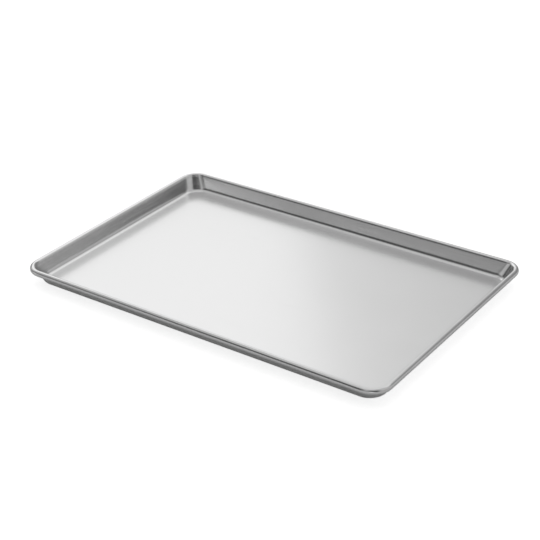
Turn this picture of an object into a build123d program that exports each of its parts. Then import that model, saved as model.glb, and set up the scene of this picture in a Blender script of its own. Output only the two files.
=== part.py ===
"""Jelly roll pan: one sheet of aluminium drawn into a shallow tray, its edge curled over a steel wire.

Millimetres, +Z up. The origin is under the middle of the pan, on the surface that it stands on.
The long side runs along X.
"""
import os
from math import cos, radians, sin, tan

from build123d import *

# Overall size, over the rolled rim
pan_length = 438.0
pan_width = 292.0
pan_height = 19.0

# Sheet and the wire inside the rim
sheet_thickness = 1.0
wire_diameter = 4.0
wire_clearance = 0.25
wire_end_gap = 1.5
curl_wrap = 265.0

# Form of the tray
wall_flare = 17.5
bottom_inner_radius = 5.5
rim_corner_radius = 21.0
base_corner_radius = 19.0

# Rolled rim: a circle round the wire, touching the pan's outline and its full height
curl_inner_radius = wire_diameter / 2 + wire_clearance
curl_outer_radius = curl_inner_radius + sheet_thickness
curl_centre_height = pan_height - curl_outer_radius

# Directions round the curl are measured from straight out, and rise over the top.
# The wall runs into the curl where both slope alike.
curl_start = 180 - wall_flare
curl_end = curl_start - curl_wrap
flare_cos = cos(radians(wall_flare))
flare_tan = tan(radians(wall_flare))

# The wall's two faces where the curl begins, level with the foot of the curl's inner face
join_height = curl_centre_height + curl_inner_radius * sin(radians(curl_start))
join_outer_inset = curl_outer_radius - curl_inner_radius * cos(radians(curl_start))
wall_sheet_width = sheet_thickness / flare_cos
join_inner_inset = join_outer_inset + wall_sheet_width


def rounded_rectangle(inset, corner_radius, height):
    """Outline of the pan drawn in by an inset, level at a height."""
    outline = RectangleRounded(pan_length - 2 * inset, pan_width - 2 * inset, corner_radius)
    return Pos(0, 0, height) * outline


def curl_point(radius, direction):
    """A point round the curl's centre, as distance in from the pan's outline and height."""
    turn = radians(direction)
    return (curl_outer_radius - radius * cos(turn), curl_centre_height + radius * sin(turn))


def rim_section():
    """Sheet edge cut square across: the wall's last stretch and the curl that wraps the wire."""
    outer_start = curl_point(curl_outer_radius, curl_start)
    outer_middle = curl_point(curl_outer_radius, (curl_start + curl_end) / 2)
    outer_end = curl_point(curl_outer_radius, curl_end)
    inner_start = curl_point(curl_inner_radius, curl_start)
    inner_middle = curl_point(curl_inner_radius, (curl_start + curl_end) / 2)
    inner_end = curl_point(curl_inner_radius, curl_end)
    wall_foot = (join_inner_inset, join_height)
    edges = [
        ThreePointArc(outer_start, outer_middle, outer_end),
        Line(outer_end, inner_end),
        ThreePointArc(inner_end, inner_middle, inner_start),
        Line(inner_start, wall_foot),
        Line(wall_foot, outer_start),
    ]
    # Stood upright on the left side of the pan, with distance in from the outline along +X
    left_side = Plane(origin=(-pan_length / 2, 0, 0), x_dir=(1, 0, 0), z_dir=(0, -1, 0))
    return left_side * make_face(edges)


def rim_path():
    """The pan's outline from the middle of the left side, once round."""
    half_length = pan_length / 2
    half_width = pan_width / 2
    corner = rim_corner_radius
    straight_x = half_length - corner
    straight_y = half_width - corner
    return Wire([
        Line((-half_length, 0), (-half_length, straight_y)),
        CenterArc((-straight_x, straight_y), corner, 180, -90),
        Line((-straight_x, half_width), (straight_x, half_width)),
        CenterArc((straight_x, straight_y), corner, 90, -90),
        Line((half_length, straight_y), (half_length, -straight_y)),
        CenterArc((straight_x, -straight_y), corner, 0, -90),
        Line((straight_x, -half_width), (-straight_x, -half_width)),
        CenterArc((-straight_x, -straight_y), corner, -90, -90),
        Line((-half_length, -straight_y), (-half_length, 0)),
    ])


def tray_wall(low_edge, high_edge):
    """Wall face between matching edges of the base and the top: flat along a side, ruled round a corner."""
    if low_edge.geom_type != GeomType.LINE:
        return Face.make_surface_from_curves(low_edge, high_edge)
    near_end = Line(low_edge.end_point(), high_edge.end_point())
    far_end = Line(high_edge.start_point(), low_edge.start_point())
    return make_face([low_edge, near_end, high_edge, far_end]).face()


def tray_form(top_inset, base_height, base_radius, bottom_radius):
    """Solid of one face of the sheet: a flared rounded rectangle with its bottom edge rounded."""
    base_inset = top_inset + (join_height - base_height) * flare_tan
    top = rounded_rectangle(top_inset, rim_corner_radius - top_inset, join_height)
    base = rounded_rectangle(base_inset, base_radius, base_height)
    walls = [tray_wall(low_edge, high_edge) for low_edge, high_edge in zip(base.edges(), top.edges())]
    form = Solid(Shell([base.face(), top.face(), *walls]))
    bottom_edges = form.faces().sort_by(Axis.Z)[0].edges()
    return fillet(bottom_edges, bottom_radius)


def pan_shell():
    """The drawn sheet: floor, bottom radius, flared walls and the rolled rim."""
    outside = tray_form(join_outer_inset, 0, base_corner_radius + wall_sheet_width,
                        bottom_inner_radius + sheet_thickness)
    inside = tray_form(join_inner_inset, sheet_thickness, base_corner_radius, bottom_inner_radius)
    curl = sweep(rim_section(), path=rim_path())
    return outside - inside + curl


def rim_wire():
    """Round steel wire bent to the rim's outline, its ends butting in the middle of the back side."""
    inset = curl_outer_radius
    bend = rim_corner_radius - inset
    side_x = pan_length / 2 - inset
    side_y = pan_width / 2 - inset
    straight_x = side_x - bend
    straight_y = side_y - bend
    height = curl_centre_height
    start = (wire_end_gap / 2, side_y, height)
    end = (-wire_end_gap / 2, side_y, height)
    path = Wire([
        Line(start, (straight_x, side_y, height)),
        Pos(0, 0, height) * CenterArc((straight_x, straight_y), bend, 90, -90),
        Line((side_x, straight_y, height), (side_x, -straight_y, height)),
        Pos(0, 0, height) * CenterArc((straight_x, -straight_y), bend, 0, -90),
        Line((straight_x, -side_y, height), (-straight_x, -side_y, height)),
        Pos(0, 0, height) * CenterArc((-straight_x, -straight_y), bend, -90, -90),
        Line((-side_x, -straight_y, height), (-side_x, straight_y, height)),
        Pos(0, 0, height) * CenterArc((-straight_x, straight_y), bend, 180, -90),
        Line((-straight_x, side_y, height), end),
    ])
    section = Plane(origin=start, z_dir=(1, 0, 0)) * Circle(wire_diameter / 2)
    return sweep(section, path=path)


os.makedirs("parts", exist_ok=True)
for name, piece in {"pan_shell": pan_shell(), "rim_wire": rim_wire()}.items():
    piece.label = name
    export_step(piece, f"parts/{name}.step")
    print(name, "volume", round(piece.volume, 1), "valid", piece.is_valid, "solids", len(piece.solids()))
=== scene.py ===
"""Jelly roll pan on a white table: satin aluminium, its rim rolled over a galvanised wire."""
from math import cos, radians, sin

import bpy
from mathutils import Matrix, Vector


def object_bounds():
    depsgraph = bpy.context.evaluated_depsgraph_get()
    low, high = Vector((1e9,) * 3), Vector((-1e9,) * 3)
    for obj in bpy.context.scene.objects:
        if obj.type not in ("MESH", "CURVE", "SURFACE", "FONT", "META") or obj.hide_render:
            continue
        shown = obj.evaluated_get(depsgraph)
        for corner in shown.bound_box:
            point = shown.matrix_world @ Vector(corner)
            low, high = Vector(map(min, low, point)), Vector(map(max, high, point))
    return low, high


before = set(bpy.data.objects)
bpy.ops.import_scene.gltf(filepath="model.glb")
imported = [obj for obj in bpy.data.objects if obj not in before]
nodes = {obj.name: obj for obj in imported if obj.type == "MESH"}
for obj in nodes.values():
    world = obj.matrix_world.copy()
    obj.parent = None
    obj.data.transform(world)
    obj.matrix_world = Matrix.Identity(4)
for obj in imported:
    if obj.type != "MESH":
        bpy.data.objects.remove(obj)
cad_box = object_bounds()


# The pan: one sheet of aluminium, rolled to a fine straight mill grain, then drawn so that floor,
# walls and corners are a single piece. The floor keeps the mill's satin, the drawn walls carry the
# die's marks, the crown of the rim is burnished, and light use has left hairline scratches.
class Value:
    """A shader socket that adds Math nodes when it is used in a sum."""

    def __init__(self, paint, socket):
        self.paint = paint
        self.socket = socket

    def math(self, operation, *values):
        return self.paint.node("ShaderNodeMath", *values, settings={"operation": operation})

    def __add__(self, other):
        return self.math("ADD", self, other)

    def __sub__(self, other):
        return self.math("SUBTRACT", self, other)

    def __rsub__(self, other):
        return self.math("SUBTRACT", other, self)

    def __mul__(self, other):
        return self.math("MULTIPLY", self, other)

    def __truediv__(self, other):
        return self.math("DIVIDE", self, other)

    def __rtruediv__(self, other):
        return self.math("DIVIDE", other, self)

    def __pow__(self, other):
        return self.math("POWER", self, other)

    def __abs__(self):
        return self.math("ABSOLUTE", self)

    def most(self, other):
        return self.math("MAXIMUM", self, other)

    def ramp(self, low, high, to_low=0.0, to_high=1.0):
        """Runs smoothly from to_low to to_high as the value goes from low to high."""
        smooth = {"interpolation_type": "SMOOTHSTEP"}
        return self.paint.node("ShaderNodeMapRange", self, low, high, to_low, to_high,
                               settings=smooth)

    __radd__ = __add__
    __rmul__ = __mul__


class Paint:
    """The node tree of a material or of the world, with one method that adds any node."""

    def __init__(self, owner):
        owner.use_nodes = True
        self.tree = owner.node_tree
        self.tree.nodes.clear()

    def node(self, kind, *inputs, settings=None, out=0, **named):
        """Adds a node: its settings first, then its sockets, in their order or by name."""
        made = self.tree.nodes.new(kind)
        for name, value in (settings or {}).items():
            setattr(made, name, value)
        by_name = {name.replace("_", " "): value for name, value in named.items()}
        for key, value in [*enumerate(inputs), *by_name.items()]:
            if isinstance(value, Value):
                self.tree.links.new(value.socket, made.inputs[key])
            else:
                made.inputs[key].default_value = value
        return Value(self, made.outputs[out]) if made.outputs else None

    def parts(self, vector):
        """The three numbers of a vector."""
        split = self.node("ShaderNodeSeparateXYZ", vector).socket.node
        return [Value(self, socket) for socket in split.outputs]

    def noise(self, place, stretch, detail):
        """Fine noise about 0, as many cells to the metre along each axis as stretch says."""
        scaled = self.node("ShaderNodeVectorMath", place, stretch,
                           settings={"operation": "MULTIPLY"})
        cells = self.node("ShaderNodeTexNoise", scaled, Scale=1.0, Detail=detail, Roughness=0.55)
        return cells - 0.5

    def grey(self, value):
        return self.node("ShaderNodeCombineColor", value, value, value)


def skin(node, name):
    """A new material with the given name on a CAD node."""
    material = bpy.data.materials.new(name)
    nodes[node].data.materials.clear()
    nodes[node].data.materials.append(material)
    return Paint(material)


aluminium_grey = 0.80
grain_tone = 0.03
cloud_tone = 0.03
draw_tone = 0.24
satin_roughness = 0.22
grain_roughness = 0.06
cloud_roughness = 0.06
draw_roughness = 0.12
scratch_roughness = 0.05
crown_polish = 0.04
scratch_width = 0.003
wall_foot, wall_clear = 0.0015, 0.006
crown_foot, crown_top = 0.0175, 0.0189

sheet = skin("pan_shell", "satin_aluminium")
place = sheet.node("ShaderNodeTexCoord", out="Object")
grain = sheet.noise(place, (60.0, 3200.0, 3200.0), 3.0)
cloud = sheet.noise(place, (9.0, 14.0, 30.0), 2.0)
draw_marks = sheet.noise(place, (14.0, 14.0, 900.0), 3.0)
rubbed = sheet.noise(place, (7.0, 90.0, 90.0), 1.0)
hairline = abs(rubbed).ramp(0.0, scratch_width, 1.0, 0.0)
_, _, height = sheet.parts(place)
wall_marks = height.ramp(wall_foot, wall_clear) * draw_marks
crown = height.ramp(crown_foot, crown_top)
sheet_grey = aluminium_grey + grain_tone * grain + cloud_tone * cloud + draw_tone * wall_marks
sheet_rough = satin_roughness + grain_roughness * grain + cloud_roughness * cloud
sheet_rough = sheet_rough + draw_roughness * wall_marks + scratch_roughness * hairline
sheet_rough = sheet_rough - crown_polish * crown
sheet_dents = sheet.node("ShaderNodeBump", Strength=0.15, Distance=0.0001, Height=grain)
aluminium = sheet.node("ShaderNodeBsdfPrincipled", Base_Color=sheet.grey(sheet_grey),
                       Metallic=1.0, Roughness=sheet_rough, Normal=sheet_dents)
sheet.node("ShaderNodeOutputMaterial", aluminium)


# The stiffening wire: round galvanised steel, bent to the rim's outline and closed in by the curl.
# Only the open underside of the curl shows it. Zinc leaves it dull, with a soft spangle.
zinc_grey = 0.55
spangle_tone = 0.16
zinc_roughness = 0.45
spangle_roughness = 0.20

zinc = skin("rim_wire", "galvanised_steel")
place = zinc.node("ShaderNodeTexCoord", out="Object")
spangle = zinc.noise(place, (700.0, 700.0, 700.0), 2.0)
wire_grey = zinc_grey + spangle_tone * spangle
wire_rough = zinc_roughness + spangle_roughness * spangle
wire_dents = zinc.node("ShaderNodeBump", Strength=0.3, Distance=0.0001, Height=spangle)
steel = zinc.node("ShaderNodeBsdfPrincipled", Base_Color=zinc.grey(wire_grey),
                  Metallic=1.0, Roughness=wire_rough, Normal=wire_dents)
zinc.node("ShaderNodeOutputMaterial", steel)


# The table: a plain matt sheet that runs out to the horizon. The camera sees it white, with the
# pan's soft shadow. In the metal's reflections its glow is dim close to the pan and lighter
# further
# out: a painted shadow round the pan, which only the reflections show.
def ray_is(paint, kind):
    """1 on a ray of the given kind, such as Camera, and 0 on any other."""
    return paint.node("ShaderNodeLightPath", out=f"Is {kind} Ray")


table_half = 12.0
matt_white = (0.8, 0.8, 0.8, 1.0)
white_lift = 0.75
near_glow = 0.04
far_glow = 0.28
glow_reach = 0.6

table_mesh = bpy.data.meshes.new("table")
table_mesh.from_pydata([(-table_half, -table_half, 0), (table_half, -table_half, 0),
                        (table_half, table_half, 0), (-table_half, table_half, 0)],
                       [], [(0, 1, 2, 3)])
table = bpy.data.objects.new("table", table_mesh)
bpy.context.scene.collection.objects.link(table)
table_paint = bpy.data.materials.new("white_table")
table_mesh.materials.append(table_paint)
white = Paint(table_paint)
pan_half_length, pan_half_width, _ = cad_box[1]
along, across, _ = white.parts(white.node("ShaderNodeTexCoord", out="Object"))
past_end = (abs(along) - pan_half_length).most(0.0)
past_side = (abs(across) - pan_half_width).most(0.0)
# Painted shadow for the reflections: the glow that the metal sees rises from near_glow beside the
# pan to near_glow + far_glow at glow_reach out.
clear = ((past_end * past_end + past_side * past_side) ** 0.5).ramp(0.0, glow_reach)
direct = ray_is(white, "Camera").most(ray_is(white, "Transmission"))
table_glow = white_lift * direct + ray_is(white, "Glossy") * (near_glow + far_glow * clear)
matt = white.node("ShaderNodeBsdfDiffuse", matt_white)
glow = white.node("ShaderNodeEmission", white.grey(table_glow))
white.node("ShaderNodeOutputMaterial", white.node("ShaderNodeAddShader", matt, glow))


# The studio: grey walls with light and dark cards round the pan, painted in the world. The light
# ones give the floor's sheen and the bright lines at its edges, and the dark ones give the grey
# walls and the dark lines at the fillets and in the corners. The camera itself sees plain white.
world = bpy.data.worlds.new("studio")
bpy.context.scene.world = world
air = Paint(world)
east, north, up = air.parts(air.node("ShaderNodeTexCoord", out="Generated"))
never_zero = 0.0001
flat = (east * east + north * north + never_zero) ** 0.5


def card(heading, half_width, soft, low, high, rise):
    """Mask of a patch of the studio's walls, in degrees.

    It reaches half_width to each side of a heading counted from +X, with its ends blurred by soft,
    and goes from the height low to the height high, with these edges blurred by rise.
    """
    facing = (east * cos(radians(heading)) + north * sin(radians(heading))) / flat
    wide = facing.ramp(cos(radians(half_width + soft)), cos(radians(half_width - soft)))
    above = up.ramp(sin(radians(low - rise)), sin(radians(low + rise)))
    below = up.ramp(sin(radians(high - rise)), sin(radians(high + rise)), 1.0, 0.0)
    return wide * above * below


# Grey walls, a little lighter above the pan's height, and dimmer at the front left
wall_grey = 0.30
upper_grey = 0.22
above_pan = up.ramp(sin(radians(2)), sin(radians(20)))
dim_front_left = 0.29 * card(228, 34, 10, -20, 50, 4) * above_pan

# Light cards, each with its strength. The first four hang over the far and left sides, and the
# others are low strips.
light_cards = [
    0.31 * card(145, 27, 11, 21, 48, 4),
    0.40 * card(90, 30, 4, 42, 58, 2),
    0.26 * card(205, 10, 5, 42, 60, 3),
    0.30 * card(135, 36, 8, 60, 80, 3),
    0.90 * card(-62, 8, 3, 13, 22, 2),
    0.13 * card(222, 18, 6, -20, 13, 3),
    0.20 * card(50, 25, 8, -20, 10, 4),
    0.26 * card(213, 12, 4, 4, 14, 3),
    0.30 * card(128, 16, 5, 0, 22, 4),
]

# Dark cards, each with the share of the light that it takes
dark_behind_camera = 0.86 * card(-50, 33, 4, 25, 62, 2)
dark_low_right = 0.90 * card(-37, 10, 3, 17, 27, 2)
dark_front_left = 0.80 * card(239, 9, 2, 8, 56, 3)
dark_low_back = 0.78 * card(158, 10, 4, -20, 18, 3)
dark_high_left = 0.45 * card(168, 18, 5, 50, 58, 3)
dark_slit_left = 0.95 * card(190, 8, 2, -20, 14, 3)
dark_back = 0.50 * card(76, 25, 4, 5, 41, 2)

room = wall_grey + upper_grey * above_pan
for light_card in light_cards:
    room = room + light_card
room = room - dim_front_left
for dark_card in (dark_behind_camera, dark_low_right, dark_front_left, dark_low_back,
                  dark_high_left, dark_slit_left, dark_back):
    room = room * (1 - dark_card)
seen = ray_is(air, "Camera").most(ray_is(air, "Transmission"))
background = air.node("ShaderNodeBackground", air.grey(seen + (1 - seen) * room))
air.node("ShaderNodeOutputWorld", background)


# The lamp: one large softbox at the back left, low in power. It strengthens the floor's sheen and
# lays the pan's soft shadow on the table.
softbox_width = 1.10
softbox_height = 0.92
softbox_power = 0.8
softbox_place = Vector((-1.12, 0.865, 1.0))
softbox_aim = Vector((-0.05, 0.0, 0.0))

lamp = bpy.data.lights.new("window_softbox", "AREA")
lamp.shape = "RECTANGLE"
lamp.size = softbox_width
lamp.size_y = softbox_height
lamp.energy = softbox_power
softbox = bpy.data.objects.new("window_softbox", lamp)
bpy.context.scene.collection.objects.link(softbox)
softbox_turn = (softbox_aim - softbox_place).to_track_quat("-Z", "Y").to_matrix().to_4x4()
softbox.matrix_world = Matrix.Translation(softbox_place) @ softbox_turn


# The camera: a long lens, turned to the photograph's viewing angle. Its angles, its distance and
# its focal length come from fitting the pan's outline.
azimuth = 0.62329
elevation = 0.50061
tilt = -0.02295
distance = 1.47069
aim = Vector((-0.01551, 0.01738, 0.001))
sensor_width = 36.0
focal_pixels = 1383.52
photo_width = 540

back = Vector((sin(azimuth) * cos(elevation), -cos(azimuth) * cos(elevation), sin(elevation)))
right = (-back).cross(Vector((0, 0, 1))).normalized()
upward = right.cross(-back)
axes = Matrix((cos(tilt) * right + sin(tilt) * upward,
               -sin(tilt) * right + cos(tilt) * upward, back))
lens = bpy.data.cameras.new("camera")
lens.sensor_width = sensor_width
lens.sensor_fit = "HORIZONTAL"
lens.lens = sensor_width * focal_pixels / photo_width
camera = bpy.data.objects.new("camera", lens)
bpy.context.scene.collection.objects.link(camera)
camera.matrix_world = Matrix.Translation(aim + distance * back) @ axes.transposed().to_4x4()
bpy.context.scene.camera = camera

bpy.context.scene.view_settings.view_transform = "Standard"
